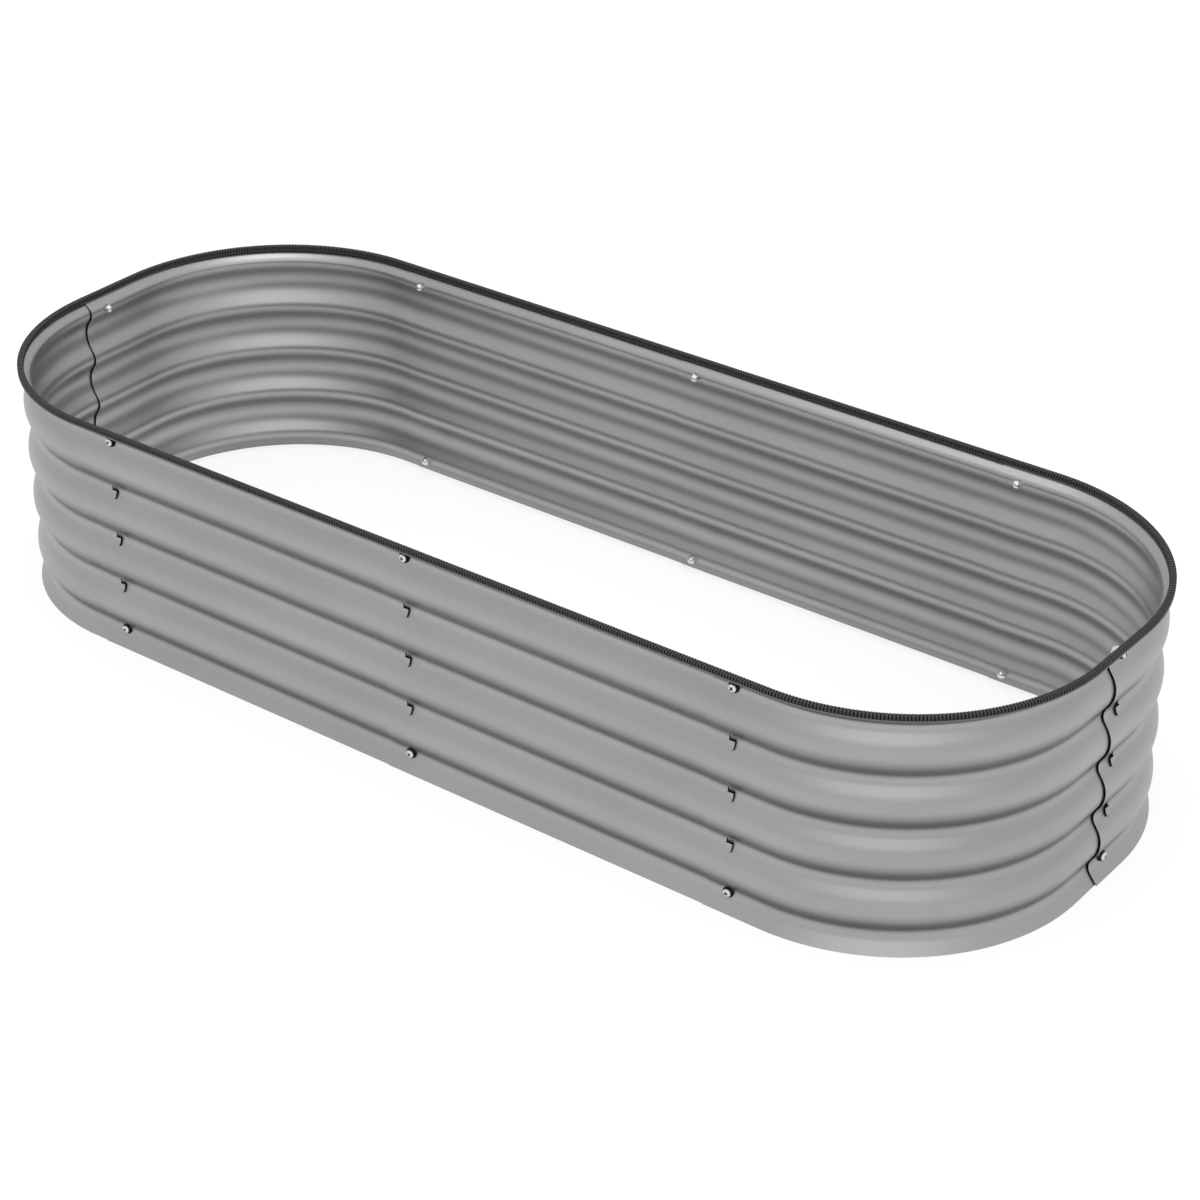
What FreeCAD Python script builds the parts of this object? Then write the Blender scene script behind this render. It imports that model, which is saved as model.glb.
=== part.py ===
"""Raised garden bed: eight corrugated sheet panels lapped and bolted into a long oval ring.

Millimetres, +Z up. The origin is on the ground, in the middle of the bed. +X runs along the length
and the front wall faces -Y. The ring is followed counter-clockwise from above: two straight panels
on the front, two quarter-round panels round the right end, and the same four again, turned half a
turn, for the back and the left end. At each seam the panel that starts lies outside the one that
ends, so every panel along a wall stands one lap step further out than the one before it. A bolt in
the top valley and one in the bottom valley hold the seam. In the valleys between, hooks bent out of
the inner sheet come through slots in the outer one and turn down over it.
"""
import FreeCAD, Part
import Sketcher
import os

Vector = FreeCAD.Vector

# name, value, what it is
DRIVING_SIZES = [
    ("overall_length", 1524, "over the ridges of the two ends"),
    ("overall_width", 604, "over the ridges of the two side walls"),
    ("sheet_height", 305, "bottom edge to top edge of a panel"),
    ("sheet_thickness", 0.8, "measured level"),
    ("corner_radius", 250, "outer face of a ridge on a quarter-round panel"),
    ("wave_count", 4, "ridges of a panel; it has one valley more"),
    ("wave_pitch", 66, "valley to valley"),
    ("lowest_valley", 21.8, "middle of the lowest valley above the bottom edge"),
    ("wave_depth", 12, "valley to ridge"),
    ("crest_flat", 12, "upright top of a ridge"),
    ("shoulder_height", 11.2, "height of the gentle slope on each side of a ridge"),
    ("shoulder_drop", 4, "how far a shoulder falls back"),
    ("valley_flat", 8, "upright floor of a valley, where the bolts sit"),
    ("bottom_flare", 12, "bottom edge out from the valleys"),
    ("top_seat", 3, "height of the slope above the top valley that the washers rest on"),
    ("lip_height", 5.5, "upright lip along the top edge"),
    ("lip_inset", 0.2, "lip behind the ridges"),
    ("lap_clearance", 0.2, "between two lapped sheets on the side walls"),
    ("end_lap_gap", 1.6, "between the lapped sheets in the middle of each end"),
    ("lap_margin", 27, "bolt line to sheet edge"),
    ("long_panel", 469.5, "bolt line to bolt line of the straight panel that ends at a middle seam"),
    ("short_panel", 456, "bolt line to bolt line of the straight panel that starts there"),
    ("middle_seam_shift", 4.4, "middle of a side wall to its middle bolt line"),
    ("end_seam_shift", 18, "middle of an end to its bolt line"),
    ("slot_width", 9.5, "slot in the outer sheet that a hook comes through"),
    ("slot_top", 4, "above the middle of its valley"),
    ("slot_bottom", 1.6, "below the middle of its valley"),
    ("hook_width", 8.5, "tongue bent out of the inner sheet"),
    ("hook_drop", 0.6, "top of the hook below the middle of its valley"),
    ("hook_reach", 10, "tip of the hook below the middle of its valley"),
    ("hook_gap", 1.2, "hook to the outer sheet that it holds"),
    ("round_sides", 8, "sides of the polygon that stands for a small round"),
    ("bolt_diameter", 6, "shank"),
    ("bolt_length", 12, "shank below the head"),
    ("hole_diameter", 7, "bolt hole in a sheet"),
    ("head_diameter", 11, "bolt head"),
    ("head_height", 3.4, "bolt head"),
    ("washer_diameter", 13, "rubber washer under the head"),
    ("washer_thickness", 1.2, "rubber washer"),
    ("nut_width", 10, "across the flats"),
    ("nut_sides", 6, "flats of a nut"),
    ("nut_height", 5, "nut"),
    ("thread_clearance", 0.1, "bolt to nut and to washer, on the radius"),
    ("seat_clearance", 0.05, "washer to the flanks of its valley"),
    ("trim_wall", 1.9, "leg of the edge trim"),
    ("trim_roof", 1.4, "top of the edge trim over the sheet's edge"),
    ("trim_clearance", 0.2, "trim leg to the nearest sheet"),
]

doc = FreeCAD.newDocument("RaisedGardenBed")
sizes = doc.addObject("Spreadsheet::Sheet", "Sizes")
for row, (name, value, meaning) in enumerate(DRIVING_SIZES, start=1):
    sizes.set(f"A{row}", name)
    sizes.set(f"B{row}", str(value))
    sizes.set(f"C{row}", meaning)
    sizes.setAlias(f"B{row}", name)
doc.recompute()

# Worked-out sizes, as expressions over the sheet.
LAP_STEP = "(Sizes.sheet_thickness + Sizes.lap_clearance)"
END_STEP = "(Sizes.sheet_thickness + Sizes.end_lap_gap)"
WALL_X = f"(Sizes.overall_length / 2 - Sizes.wave_depth - {END_STEP})"
WALL_Y = f"(Sizes.overall_width / 2 - Sizes.wave_depth - 3 * {LAP_STEP})"
VALLEY_RADIUS = "(Sizes.corner_radius - Sizes.wave_depth)"
CENTRE_X = f"({WALL_X} - {VALLEY_RADIUS})"
CENTRE_Y = f"({WALL_Y} - {VALLEY_RADIUS})"
FIRST_SEAM_X = "(Sizes.long_panel - Sizes.middle_seam_shift)"
THIRD_SEAM_X = "(Sizes.short_panel + Sizes.middle_seam_shift)"
FLANK_HEIGHT = "(Sizes.wave_pitch / 2 - Sizes.crest_flat / 2 - Sizes.shoulder_height - Sizes.valley_flat / 2)"
FLANK_SLOPE = f"((Sizes.wave_depth - Sizes.shoulder_drop) / {FLANK_HEIGHT})"
BORE = "(Sizes.bolt_diameter + 2 * Sizes.thread_clearance)"


def number(expression):
    """The present value of an expression over the sheet."""
    return float(sizes.evalExpression(expression))


def new_body(label):
    body = doc.addObject("PartDesign::Body", label)
    body.Label = label
    return body


def origin_feature(body, role):
    return next(item for item in body.Origin.OriginFeatures if item.Role == role)


def new_sketch(body, name, plane):
    sketch = body.newObject("Sketcher::SketchObject", name)
    sketch.AttachmentSupport = [(origin_feature(body, plane), "")]
    sketch.MapMode = "FlatFace"
    return sketch


def bind_distance(sketch, kind, element, point, expression):
    """Ties one coordinate of a sketch point, measured from the sketch's origin, to the sheet."""
    value = number(expression)
    if value < 0:
        ends = (element, point, -1, 1)
        expression = f"-({expression})"
    else:
        ends = (-1, 1, element, point)
    index = sketch.addConstraint(Sketcher.Constraint(kind, *ends, abs(value)))
    sketch.setExpression(f"Constraints[{index}]", expression)


def bind_point(sketch, element, point, across, along):
    bind_distance(sketch, "DistanceX", element, point, across)
    bind_distance(sketch, "DistanceY", element, point, along)


def draw_outline(sketch, corners):
    """A closed outline of straight lines through corners, each a pair of expressions."""
    points = [Vector(number(across), number(along), 0) for across, along in corners]
    count = len(points)
    first = sketch.GeometryCount
    lines = [Part.LineSegment(points[i], points[(i + 1) % count]) for i in range(count)]
    sketch.addGeometry(lines, False)
    joints = [
        Sketcher.Constraint("Coincident", first + i, 2, first + (i + 1) % count, 1) for i in range(count)
    ]
    sketch.addConstraint(joints)
    for i, (across, along) in enumerate(corners):
        bind_point(sketch, first + i, 1, across, along)


def draw_polygon(sketch, across, along, width, sides):
    """A regular polygon with a flat at the top, given by its width across the flats."""
    count = int(number(sides))
    radius = f"{width} / 2 / cos(180 / {sides})"
    draw_outline(sketch, [
        (f"{across} + {radius} * sin(360 * {i + 0.5} / {sides})",
         f"{along} + {radius} * cos(360 * {i + 0.5} / {sides})")
        for i in range(count)
    ])


def sheet_section():
    """Corners of a panel's cross-section, as (distance out from the valley floor, height).

    The outer face is followed from the bottom edge to the top: a flared flange, then valley, flank,
    shoulder, crest and back again for each wave, then the top flange with its upright lip. The inner
    face is the same line, one sheet thickness further in.
    """
    valley = "Sizes.valley_flat / 2"
    crest = "Sizes.crest_flat / 2"
    shoulder = "(Sizes.crest_flat / 2 + Sizes.shoulder_height)"
    fallen = "(Sizes.wave_depth - Sizes.shoulder_drop)"
    lip = "(Sizes.wave_depth - Sizes.lip_inset)"
    outer = [("Sizes.bottom_flare", "0")]
    for wave in range(int(number("Sizes.wave_count")) + 1):
        floor = f"(Sizes.lowest_valley + {wave} * Sizes.wave_pitch)"
        outer += [("0", f"{floor} - {valley}"), ("0", f"{floor} + {valley}")]
        if wave < int(number("Sizes.wave_count")):
            ridge = f"({floor} + Sizes.wave_pitch / 2)"
            outer += [(fallen, f"{ridge} - {shoulder}"), ("Sizes.wave_depth", f"{ridge} - {crest}")]
            outer += [("Sizes.wave_depth", f"{ridge} + {crest}"), (fallen, f"{ridge} + {shoulder}")]
    outer.append((f"{FLANK_SLOPE} * Sizes.top_seat", f"{floor} + {valley} + Sizes.top_seat"))
    outer += [(lip, "Sizes.sheet_height - Sizes.lip_height"), (lip, "Sizes.sheet_height")]
    inner = [(f"{out} - Sizes.sheet_thickness", height) for out, height in reversed(outer)]
    return outer + inner


SECTION = sheet_section()


def repeat_up_valleys(body, name, features, first_valley):
    """Repeats features made at one valley from there up, as far below the top as they start."""
    doc.recompute()
    row = body.newObject("PartDesign::LinearPattern", name)
    row.Originals = features
    row.Direction = (origin_feature(body, "Z_Axis"), [""])
    row.setExpression("Length", f"Sizes.wave_pitch * (Sizes.wave_count - 2 * {first_valley})")
    if first_valley == 0:
        row.Occurrences = 2
    else:
        row.setExpression("Occurrences", f"Sizes.wave_count + 1 - 2 * {first_valley}")
    body.Tip = row
    doc.recompute()
    return row


def cut_through(body, name, sketch):
    cut = body.newObject("PartDesign::Pocket", name)
    cut.Profile = sketch
    cut.SideType = "Symmetric"
    cut.Type = "ThroughAll"
    return cut


def cut_bolt_holes(body, places):
    """Bolt holes through the lowest valley and the highest, at each place along the sheet.

    A place is (plane of the sketch, distance along that plane), as the sketch sees it.
    """
    cuts = []
    for plane, across in places:
        sketch = new_sketch(body, f"{body.Label}_hole_{len(cuts) + 1}_sketch", plane)
        draw_polygon(sketch, across, "Sizes.lowest_valley", "Sizes.hole_diameter", "Sizes.round_sides")
        cuts.append(cut_through(body, f"{body.Label}_hole_{len(cuts) + 1}", sketch))
    repeat_up_valleys(body, f"{body.Label}_hole_rows", cuts, 0)


def cut_slots(body, plane, across):
    """Slots in the valleys between, where this panel is the outer sheet."""
    sketch = new_sketch(body, f"{body.Label}_slot_sketch", plane)
    valley = f"(Sizes.lowest_valley + Sizes.wave_pitch)"
    left = f"{across} - Sizes.slot_width / 2"
    right = f"{across} + Sizes.slot_width / 2"
    bottom = f"{valley} - Sizes.slot_bottom"
    top = f"{valley} + Sizes.slot_top"
    draw_outline(sketch, [(left, bottom), (right, bottom), (right, top), (left, top)])
    cut = cut_through(body, f"{body.Label}_slot", sketch)
    repeat_up_valleys(body, f"{body.Label}_slot_row", [cut], 1)


def add_hooks(body, plane, outwards, across, step):
    """Hooks in the valleys between, where this panel is the inner sheet.

    The hook's side view is drawn on a plane set across the sheet: out through the outer sheet's slot,
    down over its valley floor and on along the flank below. outwards turns a distance out from this
    sheet's valley floor into the sketch's own coordinate.
    """
    thickness = "Sizes.sheet_thickness"
    valley = f"(Sizes.lowest_valley + Sizes.wave_pitch)"
    bend = f"({valley} - Sizes.valley_flat / 2)"
    top = f"({valley} - Sizes.hook_drop)"
    tip = f"({valley} - Sizes.hook_reach)"
    inner = f"({step} + Sizes.hook_gap)"
    splay = f"({FLANK_SLOPE} * (Sizes.hook_reach - Sizes.valley_flat / 2))"
    side_view = [
        (f"-{thickness} / 2", top),
        (f"{inner} + {thickness}", top),
        (f"{inner} + {thickness}", bend),
        (f"{inner} + {thickness} + {splay}", tip),
        (f"{inner} + {splay}", tip),
        (inner, bend),
        (inner, f"{top} - {thickness}"),
        (f"-{thickness} / 2", f"{top} - {thickness}"),
    ]
    sketch = new_sketch(body, f"{body.Label}_hook_sketch", plane)
    sketch.setExpression("AttachmentOffset.Base.z", across)
    draw_outline(sketch, [(outwards(out), height) for out, height in side_view])
    hook = body.newObject("PartDesign::Pad", f"{body.Label}_hook")
    hook.Profile = sketch
    hook.SideType = "Symmetric"
    hook.setExpression("Length", "Sizes.hook_width")
    repeat_up_valleys(body, f"{body.Label}_hook_row", [hook], 1)


def extrude(body, name, sketch, length, reverse):
    pad = body.newObject("PartDesign::Pad", name)
    pad.Profile = sketch
    pad.Reversed = reverse
    pad.setExpression("Length", length)
    return pad


def straight_panel(label, bolt_distance):
    """Starts at X = 0, runs towards +X and bulges towards -Y, with its valley floors at Y = 0."""
    body = new_body(label)
    sketch = new_sketch(body, f"{label}_section", "YZ_Plane")
    draw_outline(sketch, [(f"-({out})", height) for out, height in SECTION])
    length = f"{bolt_distance} + 2 * Sizes.lap_margin"
    extrude(body, f"{label}_sheet", sketch, length, False)
    start = "Sizes.lap_margin"
    end = f"{bolt_distance} + Sizes.lap_margin"
    cut_bolt_holes(body, [("XZ_Plane", start), ("XZ_Plane", end)])
    cut_slots(body, "XZ_Plane", start)
    add_hooks(body, "YZ_Plane", lambda out: f"-({out})", end, LAP_STEP)
    return body


def corner_panel(label, start_flange, end_flange, end_step):
    """A quarter turn about Z from -Y round to +X, with a straight flange at each end.

    end_step is how far out the next panel's sheet stands from this one where they lap.
    """
    body = new_body(label)
    bent = [(f"{VALLEY_RADIUS} + {out}", height) for out, height in SECTION]
    end_sketch = new_sketch(body, f"{label}_end_section", "XZ_Plane")
    draw_outline(end_sketch, bent)
    start_sketch = new_sketch(body, f"{label}_start_section", "YZ_Plane")
    draw_outline(start_sketch, [(f"-({out})", height) for out, height in bent])
    bend = body.newObject("PartDesign::Revolution", f"{label}_bend")
    bend.Profile = end_sketch
    bend.ReferenceAxis = (end_sketch, ["V_Axis"])
    bend.Angle = 90
    bend.Reversed = True
    extrude(body, f"{label}_end_flange", end_sketch, end_flange, True)
    extrude(body, f"{label}_start_flange", start_sketch, start_flange, True)
    start = f"-({start_flange} - Sizes.lap_margin)"
    end = f"{end_flange} - Sizes.lap_margin"
    cut_bolt_holes(body, [("XZ_Plane", start), ("YZ_Plane", end)])
    cut_slots(body, "XZ_Plane", start)
    add_hooks(body, "XZ_Plane", lambda out: f"{VALLEY_RADIUS} + {out}", f"-({end})", end_step)
    return body


# A fastener's own frame: Y = 0 is the valley floor of the outer sheet, and -Y points out.
# A washer's flats rest on the two flanks of its valley.
WASHER_BACK = (
    f"((Sizes.washer_diameter - Sizes.valley_flat) / 2 * {FLANK_SLOPE} + Sizes.seat_clearance)"
)
HEAD_BACK = f"({WASHER_BACK} + Sizes.washer_thickness)"


def upright_sketch(body, name, out):
    """A sketch facing -Y, set out from the valley floor."""
    sketch = new_sketch(body, name, "XZ_Plane")
    sketch.setExpression("AttachmentOffset.Base.z", out)
    return sketch


def bolt_row():
    """Pan heads with plain shanks."""
    body = new_body("bolt_row")
    head_sketch = upright_sketch(body, "head_section", HEAD_BACK)
    draw_polygon(head_sketch, "0", "0", "Sizes.head_diameter", "Sizes.round_sides")
    head = extrude(body, "head", head_sketch, "Sizes.head_height", False)
    shank_sketch = upright_sketch(body, "shank_section", HEAD_BACK)
    draw_polygon(shank_sketch, "0", "0", "Sizes.bolt_diameter", "Sizes.round_sides")
    shank = extrude(body, "shank", shank_sketch, "Sizes.bolt_length", True)
    repeat_up_valleys(body, "bolts_in_a_seam", [head, shank], 0)
    return body


def washer_row():
    """Rubber washers, each resting on the two flanks of its valley."""
    body = new_body("washer_row")
    sketch = upright_sketch(body, "washer_section", WASHER_BACK)
    draw_polygon(sketch, "0", "0", "Sizes.washer_diameter", "Sizes.round_sides")
    draw_polygon(sketch, "0", "0", BORE, "Sizes.round_sides")
    washer = extrude(body, "washer", sketch, "Sizes.washer_thickness", False)
    repeat_up_valleys(body, "washers_in_a_seam", [washer], 0)
    return body


def nut_row():
    """Hexagon nuts. Their own frame starts at the face that bears on the inner sheet."""
    body = new_body("nut_row")
    sketch = upright_sketch(body, "nut_section", "0")
    draw_polygon(sketch, "0", "0", "Sizes.nut_width", "Sizes.nut_sides")
    draw_polygon(sketch, "0", "0", BORE, "Sizes.round_sides")
    nut = extrude(body, "nut", sketch, "Sizes.nut_height", True)
    repeat_up_valleys(body, "nuts_in_a_seam", [nut], 0)
    return body


def rounded_rectangle(sketch, grow):
    """The ring's plan with its straights moved out by grow from the valley floors of the first level."""
    radius = f"({VALLEY_RADIUS} + {grow})"
    r = number(radius)
    x = number(CENTRE_X)
    y = number(CENTRE_Y)
    first = sketch.GeometryCount
    quarter = FreeCAD.Units.Quantity("90 deg").getValueAs("rad").Value
    centres = [(x, y, 0), (-x, y, 1), (-x, -y, 2), (x, -y, 3)]
    geometry = [
        Part.ArcOfCircle(Part.Circle(Vector(cx, cy, 0), Vector(0, 0, 1), r), turn * quarter, (turn + 1) * quarter)
        for cx, cy, turn in centres
    ]
    geometry += [
        Part.LineSegment(Vector(x, y + r, 0), Vector(-x, y + r, 0)),
        Part.LineSegment(Vector(-x - r, y, 0), Vector(-x - r, -y, 0)),
        Part.LineSegment(Vector(-x, -y - r, 0), Vector(x, -y - r, 0)),
        Part.LineSegment(Vector(x + r, -y, 0), Vector(x + r, y, 0)),
    ]
    sketch.addGeometry(geometry, False)
    joints = []
    for corner in range(4):
        line = first + 4 + corner
        joints.append(Sketcher.Constraint("Tangent", first + corner, 2, line, 1))
        joints.append(Sketcher.Constraint("Tangent", line, 2, first + (corner + 1) % 4, 1))
    sketch.addConstraint(joints)
    signs = [("", ""), ("-", ""), ("-", "-"), ("", "-")]
    for corner, (sign_x, sign_y) in enumerate(signs):
        bind_point(sketch, first + corner, 3, f"{sign_x}{CENTRE_X}", f"{sign_y}{CENTRE_Y}")
    index = sketch.addConstraint(Sketcher.Constraint("Radius", first, r))
    sketch.setExpression(f"Constraints[{index}]", radius)


def edge_trim(label):
    """A U-section strip over the top edges of all the panels, resting on them."""
    body = new_body(label)
    lip = "(Sizes.wave_depth - Sizes.lip_inset)"
    slot_outer = f"{lip} + 3 * {LAP_STEP} + Sizes.trim_clearance"
    slot_inner = f"{lip} - Sizes.sheet_thickness - Sizes.trim_clearance"
    strip_sketch = new_sketch(body, f"{label}_plan", "XY_Plane")
    rounded_rectangle(strip_sketch, f"({slot_outer} + Sizes.trim_wall)")
    rounded_rectangle(strip_sketch, f"({slot_inner} - Sizes.trim_wall)")
    strip = extrude(body, f"{label}_strip", strip_sketch, "Sizes.lip_height + Sizes.trim_roof", False)
    slot_sketch = new_sketch(body, f"{label}_slot_plan", "XY_Plane")
    rounded_rectangle(slot_sketch, f"({slot_outer})")
    rounded_rectangle(slot_sketch, f"({slot_inner})")
    doc.recompute()
    slot = body.newObject("PartDesign::Pocket", f"{label}_slot")
    slot.Profile = slot_sketch
    slot.Reversed = True
    slot.setExpression("Length", "Sizes.lip_height")
    body.Tip = slot
    doc.recompute()
    if slot.Shape.Volume >= strip.Shape.Volume:
        raise RuntimeError("the trim's slot cuts nothing")
    body.setExpression("Placement.Base.z", "Sizes.sheet_height - Sizes.lip_height")
    return body


def place(item, across, along, quarter_turns, up="0"):
    """Sets an object down at (across, along, up), all expressions, turned by quarter turns about Z."""
    item.Placement = FreeCAD.Placement(Vector(0, 0, 0), FreeCAD.Rotation(Vector(0, 0, 1), 90 * quarter_turns))
    for axis, expression in (("x", across), ("y", along), ("z", up)):
        item.setExpression(f"Placement.Base.{axis}", expression)


# Lengths of the corner panels' flanges, from the tangent line to the sheet's edge.
SIDE_START_FLANGE = f"({CENTRE_X} - {THIRD_SEAM_X} + Sizes.lap_margin)"
SIDE_END_FLANGE = f"({CENTRE_X} + {END_STEP} - {FIRST_SEAM_X} + Sizes.lap_margin)"
END_END_FLANGE = f"({CENTRE_Y} + 3 * {LAP_STEP} + Sizes.end_seam_shift + Sizes.lap_margin)"
END_START_FLANGE = f"({CENTRE_Y} - Sizes.end_seam_shift + Sizes.lap_margin)"

# One half of the ring is the front and the right end. The other is this one turned half a turn.
LEVEL = [f"({WALL_Y} + {step} * {LAP_STEP})" for step in range(4)]
HALVES = [
    ("", 0, ["front_left_panel", "front_right_panel", "right_front_corner", "right_back_corner"]),
    ("-", 2, ["back_right_panel", "back_left_panel", "left_back_corner", "left_front_corner"]),
]
# Where the outer sheet's valley floor meets each bolt line, the sheets' step there, and the turn.
SEAMS = [
    (f"-{FIRST_SEAM_X}", f"-{LEVEL[1]}", LAP_STEP, 0),
    ("Sizes.middle_seam_shift", f"-{LEVEL[2]}", LAP_STEP, 0),
    (THIRD_SEAM_X, f"-{LEVEL[3]}", LAP_STEP, 0),
    (f"({WALL_X} + {END_STEP})", "Sizes.end_seam_shift", END_STEP, 1),
]


def build_panels(sign, turns, labels):
    """The four panels of one half, counter-clockwise."""
    panels = [
        straight_panel(labels[0], "Sizes.long_panel"),
        straight_panel(labels[1], "Sizes.short_panel"),
        corner_panel(labels[2], SIDE_START_FLANGE, END_END_FLANGE, END_STEP),
        corner_panel(labels[3], END_START_FLANGE, SIDE_END_FLANGE, LAP_STEP),
    ]
    places = [
        (f"-{FIRST_SEAM_X} - Sizes.lap_margin", f"-{LEVEL[1]}", 0),
        ("Sizes.middle_seam_shift - Sizes.lap_margin", f"-{LEVEL[2]}", 0),
        (CENTRE_X, f"-{CENTRE_Y} - 3 * {LAP_STEP}", 0),
        (f"{CENTRE_X} + {END_STEP}", CENTRE_Y, 1),
    ]
    for panel, (across, along, extra_turns) in zip(panels, places):
        place(panel, f"{sign}({across})", f"{sign}({along})", turns + extra_turns)
    return panels


def fasten_seams(label, row, on_inner_sheet):
    """Puts a copy of a row of fasteners at each of the eight seams, as one group."""
    copies = []
    for sign, turns, _ in HALVES:
        for across, along, step, extra_turns in SEAMS:
            if on_inner_sheet and extra_turns:
                across = f"{across} - {step} - Sizes.sheet_thickness"
            elif on_inner_sheet:
                along = f"{along} + {step} + Sizes.sheet_thickness"
            copy = doc.addObject("App::Link", f"{label}_{len(copies) + 1}")
            copy.LinkedObject = row
            place(copy, f"{sign}({across})", f"{sign}({along})", turns + extra_turns, "Sizes.lowest_valley")
            copies.append(copy)
    group = doc.addObject("Part::Compound", label)
    group.Label = label
    group.Links = copies
    return group


nodes = []
for sign, turns, labels in HALVES:
    nodes += build_panels(sign, turns, labels)
nodes.append(fasten_seams("bolts", bolt_row(), False))
nodes.append(fasten_seams("rubber_washers", washer_row(), False))
nodes.append(fasten_seams("nuts", nut_row(), True))
nodes.append(edge_trim("edge_trim"))
doc.recompute()

for item in doc.Objects:
    if "Invalid" in item.State or "Error" in item.State:
        raise RuntimeError(f"{item.Label} failed: {item.State}")
for node in nodes:
    if node.Shape.isNull() or not node.Shape.isValid():
        raise RuntimeError(f"{node.Label} has no valid shape")

os.makedirs("parts", exist_ok=True)
for node in nodes:
    node.Shape.exportStep(f"parts/{node.Label}.step")
    box = node.Shape.BoundBox
    print(f"{node.Label}: {len(node.Shape.Solids)} solids, {node.Shape.Volume:.0f} mm3,"
          f" {box.XLength:.1f} x {box.YLength:.1f} x {box.ZLength:.1f}")
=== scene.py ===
"""Looks of the raised garden bed: smooth-rolled sheet panels, ribbed rubber strip, bolts and cap nuts.

Metres, in the part's own frame: the origin is on the ground in the middle of the bed, +X runs along
the length, the front wall faces -Y and +Z is up. Every piece here stands for one CAD node. The sheets
lap as in the CAD model: counter-clockwise from above, each panel starts outside the one that ends.
"""
import bpy
import math
import numpy as np
from mathutils import Matrix, Vector


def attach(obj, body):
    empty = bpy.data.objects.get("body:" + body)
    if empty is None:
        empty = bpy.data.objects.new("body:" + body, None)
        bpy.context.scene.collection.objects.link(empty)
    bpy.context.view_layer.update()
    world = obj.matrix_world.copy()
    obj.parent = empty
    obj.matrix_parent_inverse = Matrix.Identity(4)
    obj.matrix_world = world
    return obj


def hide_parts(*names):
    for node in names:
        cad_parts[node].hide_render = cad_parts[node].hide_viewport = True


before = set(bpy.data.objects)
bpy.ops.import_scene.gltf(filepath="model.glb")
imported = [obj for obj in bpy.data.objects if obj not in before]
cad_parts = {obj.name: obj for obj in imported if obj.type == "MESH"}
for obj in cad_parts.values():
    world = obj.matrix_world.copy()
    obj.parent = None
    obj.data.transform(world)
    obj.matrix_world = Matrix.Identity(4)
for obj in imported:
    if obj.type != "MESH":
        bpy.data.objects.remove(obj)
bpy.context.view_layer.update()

MM = 0.001

# The sheet's section.
SHEET_HEIGHT = 305 * MM
SHEET_THICKNESS = 0.8 * MM
WAVE_COUNT = 4
LOWEST_VALLEY = 21.8 * MM
WAVE_PITCH = 66 * MM
WAVE_DEPTH = 12 * MM
FLANK_ANGLE = math.radians(33.5)
BOTTOM_ANGLE = math.radians(36.5)
TOP_ANGLE = math.radians(54)
VALLEY_RADIUS = 16 * MM
TOP_VALLEY_RADIUS = 8 * MM
LIP_RADIUS = 2 * MM
LIP_OUT = 11.8 * MM
ARC_STEP = math.radians(3.5)

# The ring's plan, at the valley floors of the first level.
BEND_RADIUS = 238 * MM
END_LAP_STEP = 2.4 * MM
SIDE_LAP_STEP = 1.0 * MM
WALL_X = 762 * MM - WAVE_DEPTH - END_LAP_STEP
WALL_Y = 302 * MM - WAVE_DEPTH - 3 * SIDE_LAP_STEP
CENTRE_X = WALL_X - BEND_RADIUS
CENTRE_Y = WALL_Y - BEND_RADIUS
LAP_MARGIN = 27 * MM
LONG_PANEL = 469.5 * MM
SHORT_PANEL = 456 * MM
MIDDLE_SEAM_SHIFT = 4.4 * MM
END_SEAM_SHIFT = 18 * MM
FIRST_SEAM_X = LONG_PANEL - MIDDLE_SEAM_SHIFT
THIRD_SEAM_X = SHORT_PANEL + MIDDLE_SEAM_SHIFT
BEND_STEP = math.radians(1.5)
STRAIGHT_STEP = 60 * MM

# Slots and hooks in the middle valleys.
SLOT_WIDTH = 9.5 * MM
SLOT_TOP = 4 * MM
SLOT_BOTTOM = 1.6 * MM
HOOK_WIDTH = 8.5 * MM
HOOK_DROP = 0.6 * MM
HOOK_REACH = 10 * MM
HOOK_GAP = 1.8 * MM
# Width of the near-black strips that paint the shade beside the hooks.
SHADE_STRIP_WIDTH = 1.2 * MM

VALLEYS = [LOWEST_VALLEY + i * WAVE_PITCH for i in range(WAVE_COUNT + 1)]


# ---------------------------------------------------------------- meshes

def new_object(name, vertices, faces, materials, face_materials=None, sharp=30):
    """A smooth-shaded mesh object whose edges stay sharp where faces meet at more than sharp degrees."""
    mesh = bpy.data.meshes.new(name)
    mesh.from_pydata([tuple(v) for v in vertices], [], [tuple(int(i) for i in f) for f in faces])
    for material in materials:
        mesh.materials.append(material)
    if face_materials is not None:
        mesh.polygons.foreach_set("material_index", np.asarray(face_materials, np.int32))
    mesh.shade_smooth()
    mesh.set_sharp_from_angle(angle=math.radians(sharp))
    mesh.update()
    item = bpy.data.objects.new(name, mesh)
    bpy.context.scene.collection.objects.link(item)
    return item


def show(item, node):
    """The object stands for a CAD node: it hangs under the root body, and the CAD node's mesh is hidden."""
    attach(item, "root")
    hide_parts(node)
    return item


def merged(parts):
    """Joins (vertices, faces, face material) parts into one set of lists."""
    vertices, faces, materials = [], [], []
    for part_vertices, part_faces, part_materials in parts:
        start = len(vertices)
        vertices.extend(part_vertices)
        faces.extend(tuple(i + start for i in face) for face in part_faces)
        materials.extend(part_materials)
    return vertices, faces, materials


# ---------------------------------------------------------------- the corrugated section

def curve_points(out, height, radius, start, end):
    """Points of an arc that leans from start to end, radians out from upright, after its first point."""
    steps = max(1, math.ceil(abs(end - start) / ARC_STEP))
    signed = radius if end > start else -radius
    leans = [start + (end - start) * i / steps for i in range(1, steps + 1)]
    return [
        (out + signed * (math.cos(start) - math.cos(lean)), height + signed * (math.sin(lean) - math.sin(start)))
        for lean in leans
    ]


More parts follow.
